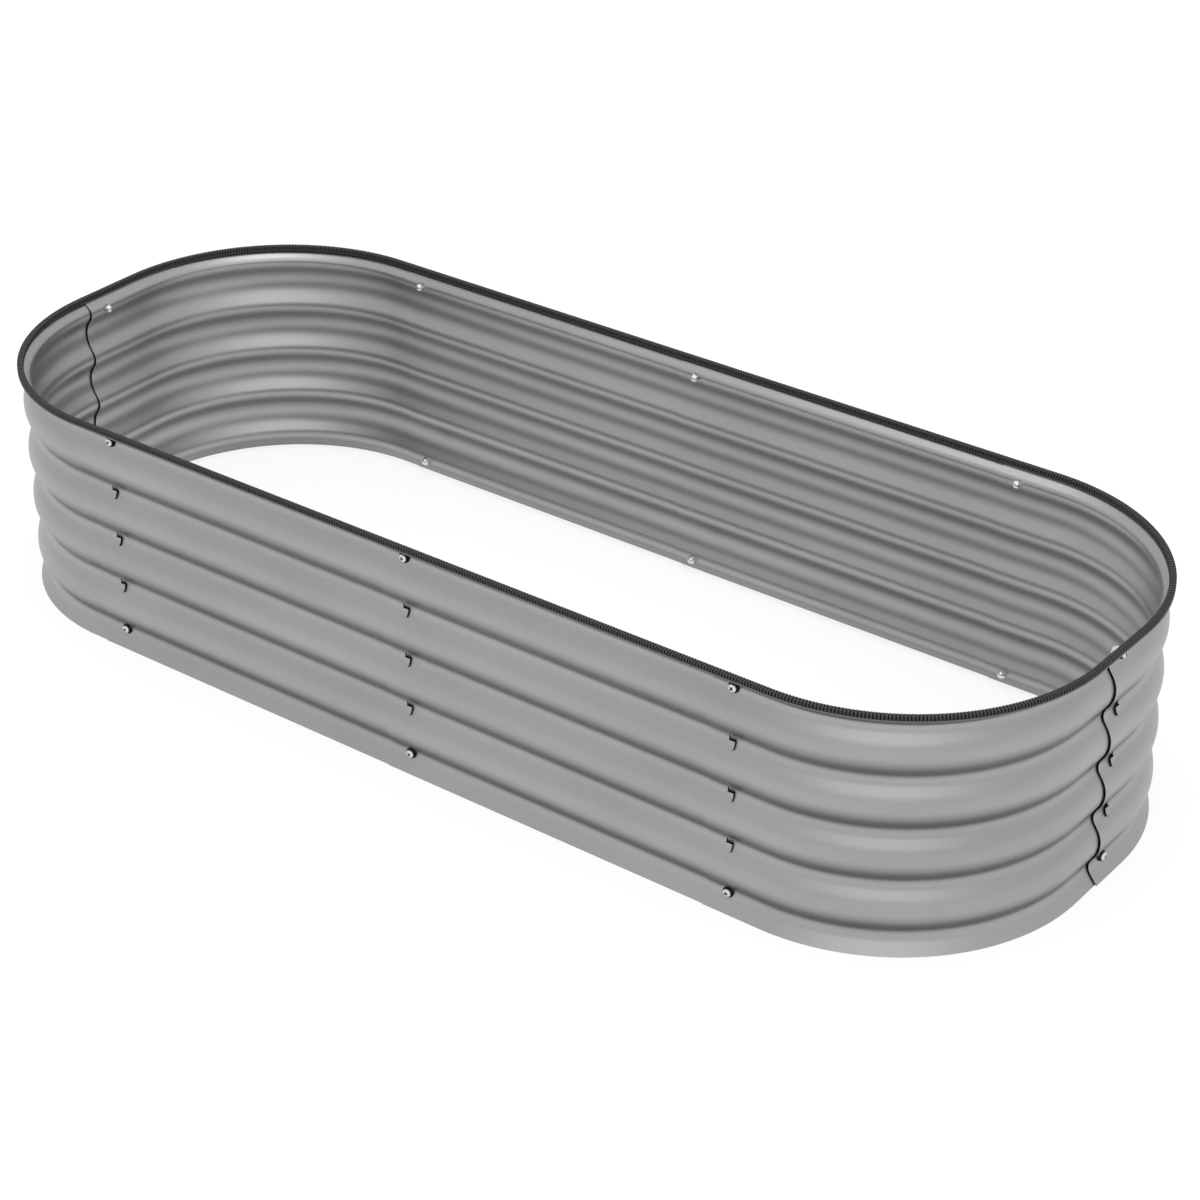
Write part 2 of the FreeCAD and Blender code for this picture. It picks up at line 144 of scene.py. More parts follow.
def section():
    """The outer face from the bottom edge to the top, as (out from the valley floor, height)."""
    sine, cosine = math.sin(FLANK_ANGLE), math.cos(FLANK_ANGLE)
    determinant = sine * sine - cosine * (1 - cosine)
    radii = (WAVE_PITCH / 2 * sine - WAVE_DEPTH * cosine) / determinant
    flank = (WAVE_DEPTH * sine - WAVE_PITCH / 2 * (1 - cosine)) / determinant
    ridge_radius = radii - VALLEY_RADIUS
    straight = (LOWEST_VALLEY - VALLEY_RADIUS * math.sin(BOTTOM_ANGLE)) / math.cos(BOTTOM_ANGLE)
    curve_out = VALLEY_RADIUS * (1 - math.cos(BOTTOM_ANGLE))
    points = [(curve_out + straight * math.sin(BOTTOM_ANGLE), 0.0)]
    points.append((curve_out, straight * math.cos(BOTTOM_ANGLE)))

    def bend(radius, start, end):
        points.extend(curve_points(*points[-1], radius, start, end))

    def run(length, lean):
        out, height = points[-1]
        points.append((out + length * math.sin(lean), height + length * math.cos(lean)))

    bend(VALLEY_RADIUS, -BOTTOM_ANGLE, 0)
    for wave in range(WAVE_COUNT):
        bend(VALLEY_RADIUS, 0, FLANK_ANGLE)
        run(flank, FLANK_ANGLE)
        bend(ridge_radius, FLANK_ANGLE, 0)
        bend(ridge_radius, 0, -FLANK_ANGLE)
        run(flank, -FLANK_ANGLE)
        bend(VALLEY_RADIUS, -FLANK_ANGLE, 0)
    bend(TOP_VALLEY_RADIUS, 0, TOP_ANGLE)
    lip_turn = LIP_RADIUS * (1 - math.cos(TOP_ANGLE))
    run((LIP_OUT - lip_turn - points[-1][0]) / math.sin(TOP_ANGLE), TOP_ANGLE)
    bend(LIP_RADIUS, TOP_ANGLE, 0)
    run(SHEET_HEIGHT - points[-1][1], 0)
    return points


def with_height(points, height):
    """The same line with a point added at a height, unless it has one there."""
    heights = [z for _, z in points]
    if min(abs(z - height) for z in heights) < 0.05 * MM:
        return points
    upper = next(i for i, z in enumerate(heights) if z > height)
    (out_a, z_a), (out_b, z_b) = points[upper - 1], points[upper]
    share = (height - z_a) / (z_b - z_a)
    return points[:upper] + [(out_a + share * (out_b - out_a), height)] + points[upper:]


SECTION = section()
for valley in VALLEYS[1:-1]:
    SECTION = with_height(SECTION, valley - SLOT_BOTTOM)
    SECTION = with_height(SECTION, valley + SLOT_TOP)


def out_at(height):
    """How far out the sheet's outer face stands at a height."""
    return float(np.interp(height, [z for _, z in SECTION], [out for out, _ in SECTION]))


# ---------------------------------------------------------------- panels

def stations(start_flange, end_flange, bend):
    """Where the section is set along a panel: (distance, x, y, angle of the outward normal).

    A straight panel has no bend. A corner turns a quarter about the origin, from facing -Y to +X.
    """
    slot = [LAP_MARGIN - SLOT_WIDTH / 2, LAP_MARGIN + SLOT_WIDTH / 2]
    length = start_flange
    count = math.ceil(length / STRAIGHT_STEP)
    along = sorted(set([length * i / count for i in range(count + 1)] + slot))
    if not bend:
        return [(s, s, 0.0, -math.pi / 2) for s in along]
    result = [(s, s - start_flange, -BEND_RADIUS, -math.pi / 2) for s in along]
    steps = round(math.pi / 2 / BEND_STEP)
    for i in range(1, steps + 1):
        turn = -math.pi / 2 + math.pi / 2 * i / steps
        distance = start_flange + BEND_RADIUS * (turn + math.pi / 2)
        result.append((distance, BEND_RADIUS * math.cos(turn), BEND_RADIUS * math.sin(turn), turn))
    count = math.ceil(end_flange / STRAIGHT_STEP)
    for i in range(1, count + 1):
        beyond = end_flange * i / count
        distance = start_flange + BEND_RADIUS * math.pi / 2 + beyond
        result.append((distance, BEND_RADIUS, beyond, 0.0))
    return result


def in_slot(distance, height):
    if abs(distance - LAP_MARGIN) > SLOT_WIDTH / 2:
        return False
    return any(valley - SLOT_BOTTOM < height < valley + SLOT_TOP for valley in VALLEYS[1:-1])


def sheet(path):
    """One panel's sheet with its slots, as (vertices, faces, materials): 0 for faces, 1 for cut edges, which are
    near-black as painted shade along the seams and slots.
    """
    rows, columns = len(path), len(SECTION)
    vertices = []
    for inset in (0.0, SHEET_THICKNESS):
        for _, x, y, turn in path:
            normal = (math.cos(turn), math.sin(turn))
            vertices += [
                (x + normal[0] * (out - inset), y + normal[1] * (out - inset), z) for out, z in SECTION
            ]

    def index(side, i, j):
        return side * rows * columns + i * columns + j

    kept = np.ones((rows - 1, columns - 1), bool)
    for i in range(rows - 1):
        for j in range(columns - 1):
            middle = (path[i][0] + path[i + 1][0]) / 2
            height = (SECTION[j][1] + SECTION[j + 1][1]) / 2
            kept[i, j] = not in_slot(middle, height)
    faces, materials = [], []
    for i in range(rows - 1):
        for j in range(columns - 1):
            if not kept[i, j]:
                continue
            corners = [(i, j), (i + 1, j), (i + 1, j + 1), (i, j + 1)]
            faces.append([index(0, *corner) for corner in corners])
            faces.append([index(1, *corner) for corner in reversed(corners)])
            materials += [0, 0]
            beyond = [(i, j - 1), (i + 1, j), (i, j + 1), (i - 1, j)]
            for side, (ni, nj) in enumerate(beyond):
                inside = 0 <= ni < rows - 1 and 0 <= nj < columns - 1
                if inside and kept[ni, nj]:
                    continue
                # A cut edge takes the near-black material: painted shade.
                a, b = corners[side], corners[(side + 1) % 4]
                faces.append([index(0, *b), index(0, *a), index(1, *a), index(1, *b)])
                materials.append(1)
    return vertices, faces, materials


def hook(distance_point, turn, step):
    """Hooks of one panel's end, each a tongue bent out, down over the next sheet and along its flank."""
    x, y = distance_point
    normal = Vector((math.cos(turn), math.sin(turn), 0))
    along = Vector((-normal.y, normal.x, 0))
    parts = []
    for valley in VALLEYS[1:-1]:
        top = valley - HOOK_DROP
        stand = step + HOOK_GAP
        line = [(-SHEET_THICKNESS / 2, top - SHEET_THICKNESS / 2), (stand - 0.6 * MM, top - SHEET_THICKNESS / 2)]
        line.append((stand + 0.1 * MM, top - 0.6 * MM))
        line.append((stand + SHEET_THICKNESS / 2, top - 1.3 * MM))
        depth = 2.0 * MM
        while depth < HOOK_REACH:
            height = valley - depth
            line.append((stand + SHEET_THICKNESS / 2 + out_at(height), height))
            depth += 1.0 * MM
        height = valley - HOOK_REACH
        line.append((stand + SHEET_THICKNESS / 2 + out_at(height), height))
        base = Vector((x, y, 0))
        parts.append(tongue(base, normal, along, line))
        # Near-black strips beside each hook: painted shade in the slot.
        for side in (-1, 1):
            parts.append(shade_strip_beside_hook(base, normal, along, side * (SLOT_WIDTH - SHADE_STRIP_WIDTH) / 2, valley))
    return parts


def shade_strip_beside_hook(base, normal, along, middle, valley):
    """A near-black strip on the hook's own sheet in the slot beside the hook: painted shade for the gap there."""
    vertices, faces = [], []
    heights = np.linspace(valley - SLOT_BOTTOM, valley + SLOT_TOP, 5)
    for height in heights:
        for edge in (-SHADE_STRIP_WIDTH / 2, SHADE_STRIP_WIDTH / 2):
            for lift in (-0.05 * MM, 0.05 * MM):
                point = base + normal * (out_at(height) + lift) + along * (middle + edge)
                vertices.append((point.x, point.y, height))
    for i in range(len(heights) - 1):
        a, b = 4 * i, 4 * (i + 1)
        for k, m in ((1, 3), (3, 2), (2, 0), (0, 1)):
            faces.append([a + k, a + m, b + m, b + k])
    last = 4 * (len(heights) - 1)
    faces += [[0, 2, 3, 1], [last, last + 1, last + 3, last + 2]]
    return vertices, faces, [1] * len(faces)


BEND_POINTS = 2


def tongue(base, normal, along, line):
    """A strip of sheet that follows a line of (out, height), with its corners rounded off at the tip."""
    half = HOOK_WIDTH / 2
    rounding = 1.6 * MM
    vertices, faces, materials = [], [], []
    count = len(line)
    for i, (out, height) in enumerate(line):
        before, after = line[max(i - 1, 0)], line[min(i + 1, count - 1)]
        tangent = Vector((after[0] - before[0], after[1] - before[1])).normalized()
        across = Vector((-tangent.y, tangent.x)) * SHEET_THICKNESS / 2
        # The underside is set down almost to the sheet below, so the near-black sides fill the gap under the hook as
        # painted shade.
        depth = (HOOK_GAP - 0.15 * MM) / (SHEET_THICKNESS / 2) if i > BEND_POINTS else 0.0
        from_tip = math.dist(line[i], line[-1])
        width = half
        if from_tip < rounding:
            width = half - rounding + math.sqrt(max(0, rounding ** 2 - (rounding - from_tip) ** 2))
        for side in (1, -1):
            for edge in (-width, width):
                reach = 1.0 if side > 0 else -1.0 - depth
                point = base + normal * (out + reach * across.x) + along * edge
                vertices.append((point.x, point.y, height + reach * across.y))
    for i in range(count - 1):
        a, b = 4 * i, 4 * (i + 1)
        for k, m in ((0, 1), (1, 3), (3, 2), (2, 0)):
            faces.append([a + k, a + m, b + m, b + k])
            # Painted shade: all faces but the top beyond the root bend take the near-black material.
            materials.append(0 if (k, m) == (0, 1) and i >= BEND_POINTS else 1)
    faces.append([0, 2, 3, 1])
    last = 4 * (count - 1)
    faces.append([last, last + 1, last + 3, last + 2])
    return vertices, faces, materials + [1, 1]


def set_down(vertices, across, along, quarter_turns):
    """Vertices turned by quarter turns about Z and then moved."""
    matrix = Matrix.Translation((across, along, 0)) @ Matrix.Rotation(quarter_turns * math.pi / 2, 4, "Z")
    return [tuple(matrix @ Vector(v)) for v in vertices]


def panel(node, path, step, across, along, quarter_turns, materials):
    end = path[-1]
    back = LAP_MARGIN
    turn = end[3]
    hook_x = end[1] + math.sin(turn) * back
    hook_y = end[2] - math.cos(turn) * back
    parts = [sheet(path)] + hook((hook_x, hook_y), turn, step)
    vertices, faces, face_materials = merged(parts)
    vertices = set_down(vertices, across, along, quarter_turns)
    item = new_object(f"{node}_sheet", vertices, faces, materials, face_materials)
    return show(item, node)


SIDE_START_FLANGE = CENTRE_X - THIRD_SEAM_X + LAP_MARGIN
SIDE_END_FLANGE = CENTRE_X + END_LAP_STEP - FIRST_SEAM_X + LAP_MARGIN
END_END_FLANGE = CENTRE_Y + 3 * SIDE_LAP_STEP + END_SEAM_SHIFT + LAP_MARGIN
END_START_FLANGE = CENTRE_Y - END_SEAM_SHIFT + LAP_MARGIN
LEVELS = [WALL_Y + i * SIDE_LAP_STEP for i in range(4)]
HALVES = [
    (1, 0, ["front_left_panel", "front_right_panel", "right_front_corner", "right_back_corner"]),
    (-1, 2, ["back_right_panel", "back_left_panel", "left_back_corner", "left_front_corner"]),
]


def build_panels(materials):
    long_wall = stations(LONG_PANEL + 2 * LAP_MARGIN, 0, False)
    short_wall = stations(SHORT_PANEL + 2 * LAP_MARGIN, 0, False)
    corner_a = stations(SIDE_START_FLANGE, END_END_FLANGE, True)
    corner_b = stations(END_START_FLANGE, SIDE_END_FLANGE, True)
    for sign, turns, nodes in HALVES:
        places = [
            (long_wall, SIDE_LAP_STEP, -FIRST_SEAM_X - LAP_MARGIN, -LEVELS[1], 0),
            (short_wall, SIDE_LAP_STEP, MIDDLE_SEAM_SHIFT - LAP_MARGIN, -LEVELS[2], 0),
            (corner_a, END_LAP_STEP, CENTRE_X, -CENTRE_Y - 3 * SIDE_LAP_STEP, 0),
            (corner_b, SIDE_LAP_STEP, CENTRE_X + END_LAP_STEP, CENTRE_Y, 1),
        ]
        for node, (path, step, across, along, extra) in zip(nodes, places):
            panel(node, path, step, sign * across, sign * along, turns + extra, materials)


# ---------------------------------------------------------------- fasteners

HEAD_RADIUS = 5.1 * MM
HEAD_HEIGHT = 3.4 * MM
HEAD_RIM = 1.1 * MM
WASHER_RADIUS = 6.5 * MM
WASHER_THICKNESS = 1.2 * MM
WASHER_BACK = 1.75 * MM
SHANK_RADIUS = 3 * MM
SHANK_LENGTH = 8 * MM
NUT_WIDTH = 10 * MM
NUT_HEIGHT = 5 * MM
CAP_HEIGHT = 3.5 * MM
CAP_RADIUS = 4.6 * MM
ROUND_SIDES = 48


def lathe(profile, sides, height_at=None):
    """Turns (radius, out) pairs about the out axis. height_at may change out from (x, z)."""
    vertices, faces = [], []
    for radius, out in profile:
        for k in range(sides):
            turn = 2 * math.pi * k / sides
            x, z = radius * math.cos(turn), radius * math.sin(turn)
            lift = height_at(x, z) if height_at else 0.0
            vertices.append((x, -(out - lift), z))
    for i in range(len(profile) - 1):
        for k in range(sides):
            a, b = i * sides + k, i * sides + (k + 1) % sides
            faces.append([a, b, b + sides, a + sides])
    return vertices, faces


def cross_recess(x, z):
    """Depth of a cross-shaped drive recess at a point of the head."""
    arm_length, arm_width, depth = 2.7 * MM, 0.75 * MM, 1.7 * MM
    soft = 0.25 * MM
    best = 0.0
    for u, v in ((abs(x), abs(z)), (abs(z), abs(x))):
        inside_u = min(1.0, max(0.0, (arm_length - u) / soft))
        inside_v = min(1.0, max(0.0, (arm_width - v) / soft))
        best = max(best, min(inside_u, inside_v))
    return depth * best


def bolt():
    """A pan-head bolt with a cross recess, its head standing on its washer."""
    base = WASHER_BACK + WASHER_THICKNESS
    profile = [(SHANK_RADIUS, -SHANK_LENGTH), (SHANK_RADIUS, base), (HEAD_RADIUS - 0.3 * MM, base)]
    profile += [(HEAD_RADIUS, base + 0.3 * MM), (HEAD_RADIUS, base + HEAD_RIM)]
    dome = HEAD_HEIGHT - HEAD_RIM
    for i in range(1, 31):
        share = i / 30
        radius = HEAD_RADIUS * (1 - share) if share < 1 else 0.001 * MM
        rise = (1 - (radius / HEAD_RADIUS) ** 2.6) ** (1 / 2.2)
        profile.append((radius, base + HEAD_RIM + dome * rise))
    vertices, faces = lathe(profile, 96, cross_recess_on_head)
    # Faces deep in the cross recess take the near-black material: painted shade in the recess.
    materials = []
    for face in faces:
        x, _, z = np.mean([vertices[i] for i in face], axis=0)
        on_dome = vertices[face[0]][1] < -base - HEAD_RIM
        materials.append(1 if on_dome and cross_recess_on_head(x, z) > 0.4 * MM else 0)
    return vertices, faces, materials


def cross_recess_on_head(x, z):
    radius = math.hypot(x, z)
    return cross_recess(x, z) if radius < 3.2 * MM else 0.0


def washer():
    profile = [
        (SHANK_RADIUS + 0.1 * MM, WASHER_BACK),
        (HEAD_RADIUS + 0.1 * MM, WASHER_BACK),
        (WASHER_RADIUS - 0.25 * MM, WASHER_BACK),
        (WASHER_RADIUS, WASHER_BACK + 0.3 * MM),
        (WASHER_RADIUS, WASHER_BACK + WASHER_THICKNESS - 0.4 * MM),
        (WASHER_RADIUS - 0.4 * MM, WASHER_BACK + WASHER_THICKNESS),
        (HEAD_RADIUS + 0.1 * MM, WASHER_BACK + WASHER_THICKNESS),
        (SHANK_RADIUS + 0.1 * MM, WASHER_BACK + WASHER_THICKNESS),
    ]
    vertices, faces = lathe(profile, ROUND_SIDES)
    return vertices, faces, [0] * len(faces)


def cap_nut():
    """A hexagon with a dome. Its own frame starts at the face on the inner sheet and runs to +Y."""
    sides = 72
    vertices, faces = [], []

    def hexagon_radius(turn):
        sector = math.pi / 3
        inside = (turn + sector / 2) % sector - sector / 2
        return NUT_WIDTH / 2 / math.cos(inside)

    rings = []
    chamfer = NUT_WIDTH / 2 + 0.15 * MM
    shape = [(0.0, 0.0, False), (0.97, 0.0, True), (1.0, 0.25 * MM, True), (1.0, NUT_HEIGHT - 0.6 * MM, True)]
    for share, y, _ in shape:
        rings.append([(share * hexagon_radius(2 * math.pi * k / sides), y) for k in range(sides)])
    rings.append([(min(chamfer, hexagon_radius(2 * math.pi * k / sides)) - 0.2 * MM, NUT_HEIGHT) for k in range(sides)])
    rings.append([(CAP_RADIUS, NUT_HEIGHT)] * sides)
    for i in range(1, 13):
        turn = math.pi / 2 * i / 12
        radius = max(CAP_RADIUS * math.cos(turn), 0.001 * MM)
        rings.append([(radius, NUT_HEIGHT + CAP_HEIGHT * math.sin(turn))] * sides)
    for ring in rings:
        for k, (radius, y) in enumerate(ring):
            turn = 2 * math.pi * k / sides + math.pi / 2
            vertices.append((radius * math.cos(turn), y, radius * math.sin(turn)))
    for i in range(len(rings) - 1):
        for k in range(sides):
            a, b = i * sides + k, i * sides + (k + 1) % sides
            faces.append([a, a + sides, b + sides, b])
    return vertices, faces, [0] * len(faces)


SEAMS = [
    (-FIRST_SEAM_X, -LEVELS[1], SIDE_LAP_STEP, 0),
    (MIDDLE_SEAM_SHIFT, -LEVELS[2], SIDE_LAP_STEP, 0),
    (THIRD_SEAM_X, -LEVELS[3], SIDE_LAP_STEP, 0),
    (WALL_X + END_LAP_STEP, END_SEAM_SHIFT, END_LAP_STEP, 1),
]


def build_fasteners(name, node, piece, materials, on_inner_sheet=False, bends=False):
    """A piece in the top and bottom valleys of all eight seams, as one object.

    Each bolt head is turned by its own angle, as hand-driven bolts are. A piece that bends has its rim
    lifted where the sheet rises under it.
    """
    vertices, faces, face_materials = piece
    parts = []
    count = 0
    for sign, turns, _ in HALVES:
        for across, along, step, extra in SEAMS:
            quarter = (turns + extra) * math.pi / 2
            for height in (VALLEYS[0], VALLEYS[-1]):
                spin = math.radians(61 * count % 90)
                inward = step + SHEET_THICKNESS if on_inner_sheet else 0.0
                matrix = (
                    Matrix.Translation((sign * across, sign * along, height))
                    @ Matrix.Rotation(quarter, 4, "Z")
                    @ Matrix.Translation((0, inward, 0))
                )
                spun = [Matrix.Rotation(spin, 4, "Y") @ Vector(v) for v in vertices]
                if bends:
                    for v in spun:
                        if math.hypot(v.x, v.z) > HEAD_RADIUS:
                            v.y -= max(0.0, out_at(height + v.z) + 0.1 * MM - WASHER_BACK)
                moved = [tuple(matrix @ v) for v in spun]
                parts.append((moved, faces, face_materials))
                count += 1
    vertices, faces, face_materials = merged(parts)
    item = new_object(name, vertices, faces, materials, face_materials, sharp=40)
    return show(item, node)


# ---------------------------------------------------------------- rubber strip over the top edge

TRIM_WALL = 1.9 * MM
TRIM_ROOF = 1.4 * MM
TRIM_LEG = 5.5 * MM
TRIM_CLEARANCE = 0.2 * MM
RIB_PITCH = 3.7 * MM
RIB_SHARE = 0.6
RIB_DEPTH = 0.6 * MM
TRIM_OUTER = LIP_OUT + 3 * SIDE_LAP_STEP + TRIM_CLEARANCE + TRIM_WALL
TRIM_INNER = LIP_OUT - SHEET_THICKNESS - TRIM_CLEARANCE - TRIM_WALL


def ring_stations(spacing):
    """Even stations round the ring, as (x, y, angle of the outward normal) at the valley floors."""
    quarter = BEND_RADIUS * math.pi / 2
    runs = []
    for corner in range(4):
        sign_x = (1, -1, -1, 1)[corner]
        sign_y = (1, 1, -1, -1)[corner]
        centre = (sign_x * CENTRE_X, sign_y * CENTRE_Y)
        first = corner * math.pi / 2
        straight = 2 * CENTRE_X if corner % 2 == 0 else 2 * CENTRE_Y
        runs.append((centre, first, straight))
    result = []
    for centre, first, straight in runs:
        count = round(quarter / spacing)
        for i in range(count):
            turn = first + math.pi / 2 * i / count
            x = centre[0] + BEND_RADIUS * math.cos(turn)
            y = centre[1] + BEND_RADIUS * math.sin(turn)
            result.append((x, y, turn))
        turn = first + math.pi / 2
        x = centre[0] + BEND_RADIUS * math.cos(turn)
        y = centre[1] + BEND_RADIUS * math.sin(turn)
        count = round(straight / spacing)
        for i in range(count):
            beyond = straight * i / count
            result.append((x - math.sin(turn) * beyond, y + math.cos(turn) * beyond, turn))
    return result


def trim_section(groove):
    """Outline of the strip, from the outer foot over the top to the inner foot, as (out, height)."""
    foot = SHEET_HEIGHT - TRIM_LEG
    top = SHEET_HEIGHT + TRIM_ROOF
    corner = 1.1 * MM
    outer, inner = TRIM_OUTER, TRIM_INNER
    lip = 1.5 * MM
    points = [
        (outer - TRIM_WALL, foot), (outer - 0.2 * MM, foot), (outer, foot + 0.3 * MM), (outer, foot + lip),
        (outer - groove, foot + lip + 0.35 * MM), (outer - groove, top - corner),
        (outer - groove - 0.3 * corner, top - 0.3 * corner - groove * 0.5),
        (outer - corner - groove * 0.6, top - groove),
        (inner + corner + groove * 0.6, top - groove),
        (inner + 0.3 * corner + groove, top - 0.3 * corner - groove * 0.5),
        (inner + groove, top - corner), (inner + groove, foot + lip + 0.35 * MM),
        (inner, foot + lip), (inner, foot + 0.3 * MM), (inner + 0.2 * MM, foot), (inner + TRIM_WALL, foot),
        (inner + TRIM_WALL, SHEET_HEIGHT), (outer - TRIM_WALL, SHEET_HEIGHT),
    ]
    return points


def build_trim(materials):
    """Ribs across the strip, one after another round the whole ring."""
    ribs = ring_stations(RIB_PITCH)
    vertices, faces = [], []
    rows = []
    count = len(ribs)
    for i, (x, y, turn) in enumerate(ribs):
        next_x, next_y, next_turn = ribs[(i + 1) % count]
        if next_turn < turn:
            next_turn += 2 * math.pi
        half_rib = RIB_SHARE / 2
        for share, groove in ((0.0, 0.0), (RIB_SHARE, 0.0), (RIB_SHARE + 0.12, RIB_DEPTH), (0.88, RIB_DEPTH)):
            angle = turn + (next_turn - turn) * share
            px = x + (next_x - x) * share
            py = y + (next_y - y) * share
            rows.append((px, py, angle, groove))
    width = len(trim_section(0.0))
    for px, py, angle, groove in rows:
        normal = (math.cos(angle), math.sin(angle))
        for out, z in trim_section(groove):
            vertices.append((px + normal[0] * out, py + normal[1] * out, z))
    total = len(rows)
    face_materials = []
    for i in range(total):
        a, b = i * width, (i + 1) % total * width
        # Groove faces on the ribs take the near-black material: painted shade in the grooves.
        grooved = max(rows[i][3], rows[(i + 1) % total][3]) > 0
        for j in range(width):
            k = (j + 1) % width
            faces.append([a + j, b + j, b + k, a + k])
            on_ribs = 4 <= j <= 10
            # The bead's faces take the lighter rubber: a painted highlight.
            on_lip = j in (2, 3)
            face_materials.append(2 if on_lip else 1 if grooved and on_ribs else 0)
    item = new_object("edge_trim_rubber", vertices, faces, materials, face_materials, sharp=28)
    return show(item, "edge_trim")


# ---------------------------------------------------------------- materials

SHEET_METALLIC = 1.0
SHEET_ROUGHNESS = (0.36, 0.44)
# Painted shade: the sheet's colour is scaled down to this on faces that look down.
UNDERSIDE_PAINTED_SHADE = 0.64
SHEET_DARK = (0.35, 0.352, 0.352)
SHEET_LIGHT = (0.40, 0.401, 0.401)


def node_material(name):
    material = bpy.data.materials.new(name)
    material.use_nodes = True
    tree = material.node_tree
    tree.nodes.clear()
    output = tree.nodes.new("ShaderNodeOutputMaterial")
    shader = tree.nodes.new("ShaderNodeBsdfPrincipled")
    tree.links.new(shader.outputs["BSDF"], output.inputs["Surface"])
    return material, tree, shader


def add(tree, kind, **values):
    node = tree.nodes.new(kind)
    for key, value in values.items():
        if key in node.inputs:
            node.inputs[key].default_value = value
        else:
            setattr(node, key, value)
    return node


def mapped_noise(tree, scale, detail=4.0, roughness=0.55, stretch=(1, 1, 1)):
    """Noise over the piece's own place, stretched along the axes."""
    coordinates = add(tree, "ShaderNodeTexCoord")
    mapping = add(tree, "ShaderNodeMapping")
    mapping.inputs["Scale"].default_value = stretch
    tree.links.new(coordinates.outputs["Object"], mapping.inputs["Vector"])
    noise = add(tree, "ShaderNodeTexNoise")
    noise.inputs["Scale"].default_value = scale
    noise.inputs["Detail"].default_value = detail
    noise.inputs["Roughness"].default_value = roughness
    tree.links.new(mapping.outputs["Vector"], noise.inputs["Vector"])
    return noise


def ramp(tree, source, low, high, dark, light):
    node = tree.nodes.new("ShaderNodeMapRange")
    node.inputs["From Min"].default_value = low
    node.inputs["From Max"].default_value = high
    node.inputs["To Min"].default_value = dark
    node.inputs["To Max"].default_value = light
    tree.links.new(source, node.inputs["Value"])
    return node.outputs["Result"]


def mix_colours(tree, factor, first, second):
    node = tree.nodes.new("ShaderNodeMix")
    node.data_type = "RGBA"
    tree.links.new(factor, node.inputs["Factor"])
    node.inputs["A"].default_value = (*first, 1)
    node.inputs["B"].default_value = (*second, 1)
    for socket in node.inputs:
        if socket.type == "RGBA":
            socket.default_value = (*first, 1) if socket.name == "A" else (*second, 1)
    return next(o for o in node.outputs if o.type == "RGBA")


def sheet_metal():
    """Satin zinc: a fine grain in tone and gloss, slow changes of tone along the roll, and painted shade that darkens
    faces which look down.
    """
    material, tree, shader = node_material("galvanised_sheet")
    shader.inputs["Metallic"].default_value = SHEET_METALLIC
    slow = mapped_noise(tree, 6, 3, 0.5, (0.6, 0.6, 2.5))
    grain = mapped_noise(tree, 1500, 3, 0.7)
    both = add(tree, "ShaderNodeMath", operation="MULTIPLY_ADD")
    tree.links.new(grain.outputs["Fac"], both.inputs[0])
    both.inputs[1].default_value = 0.8
    tree.links.new(slow.outputs["Fac"], both.inputs[2])
    tone = ramp(tree, both.outputs[0], 0.65, 1.15, 0.0, 1.0)
    colour = mix_colours(tree, tone, SHEET_DARK, SHEET_LIGHT)
    facing = add(tree, "ShaderNodeNewGeometry")
    parts = add(tree, "ShaderNodeSeparateXYZ")
    tree.links.new(facing.outputs["Normal"], parts.inputs[0])
    # Painted shade: the base colour darkens as the face's normal turns down.
    painted_underside_shade = ramp(tree, parts.outputs["Z"], -0.06, -0.4, 1.0, UNDERSIDE_PAINTED_SHADE)
    tone_with_painted_shade = add(tree, "ShaderNodeVectorMath", operation="SCALE")
    tree.links.new(colour, tone_with_painted_shade.inputs[0])
    tree.links.new(painted_underside_shade, tone_with_painted_shade.inputs["Scale"])
    tree.links.new(tone_with_painted_shade.outputs[0], shader.inputs["Base Color"])
    rough = ramp(tree, grain.outputs["Fac"], 0.3, 0.7, *SHEET_ROUGHNESS)
    tree.links.new(rough, shader.inputs["Roughness"])
    bump = add(tree, "ShaderNodeBump")
    bump.inputs["Strength"].default_value = 0.04
    bump.inputs["Distance"].default_value = 0.0001
    tree.links.new(grain.outputs["Fac"], bump.inputs["Height"])
    tree.links.new(bump.outputs["Normal"], shader.inputs["Normal"])
    return material


def shade_and_washer_black():
    """Near-black and matte: painted shade on the sheets' cut edges, beside and under the hooks, in the bolts' recesses
    and in the strip's grooves; also the black of the rubber washers.
    """
    material, tree, shader = node_material("painted_shade_and_washer_black")
    streaks = mapped_noise(tree, 1400, 2, 0.6, (1, 1, 0.15))
    colour = mix_colours(tree, streaks.outputs["Fac"], (0.004, 0.004, 0.0045), (0.012, 0.012, 0.013))
    tree.links.new(colour, shader.inputs["Base Color"])
    shader.inputs["Roughness"].default_value = 0.8
    shader.inputs["Specular IOR Level"].default_value = 0.1
    return material


def black_rubber():
    material, tree, shader = node_material("black_rubber")
    bloom = mapped_noise(tree, 300, 4, 0.6)
    colour = mix_colours(tree, bloom.outputs["Fac"], (0.018, 0.018, 0.019), (0.04, 0.04, 0.042))
    tree.links.new(colour, shader.inputs["Base Color"])
    rough = ramp(tree, bloom.outputs["Fac"], 0.3, 0.7, 0.42, 0.6)
    tree.links.new(rough, shader.inputs["Roughness"])
    return material


def lip_highlight_rubber():
    """The strip's bead, lighter than the rest: a painted highlight along it."""
    material, tree, shader = node_material("lip_painted_highlight_rubber")
    mottle = mapped_noise(tree, 400, 3, 0.6)
    colour = mix_colours(tree, mottle.outputs["Fac"], (0.15, 0.15, 0.152), (0.24, 0.24, 0.242))
    tree.links.new(colour, shader.inputs["Base Color"])
    shader.inputs["Roughness"].default_value = 0.5
    return material


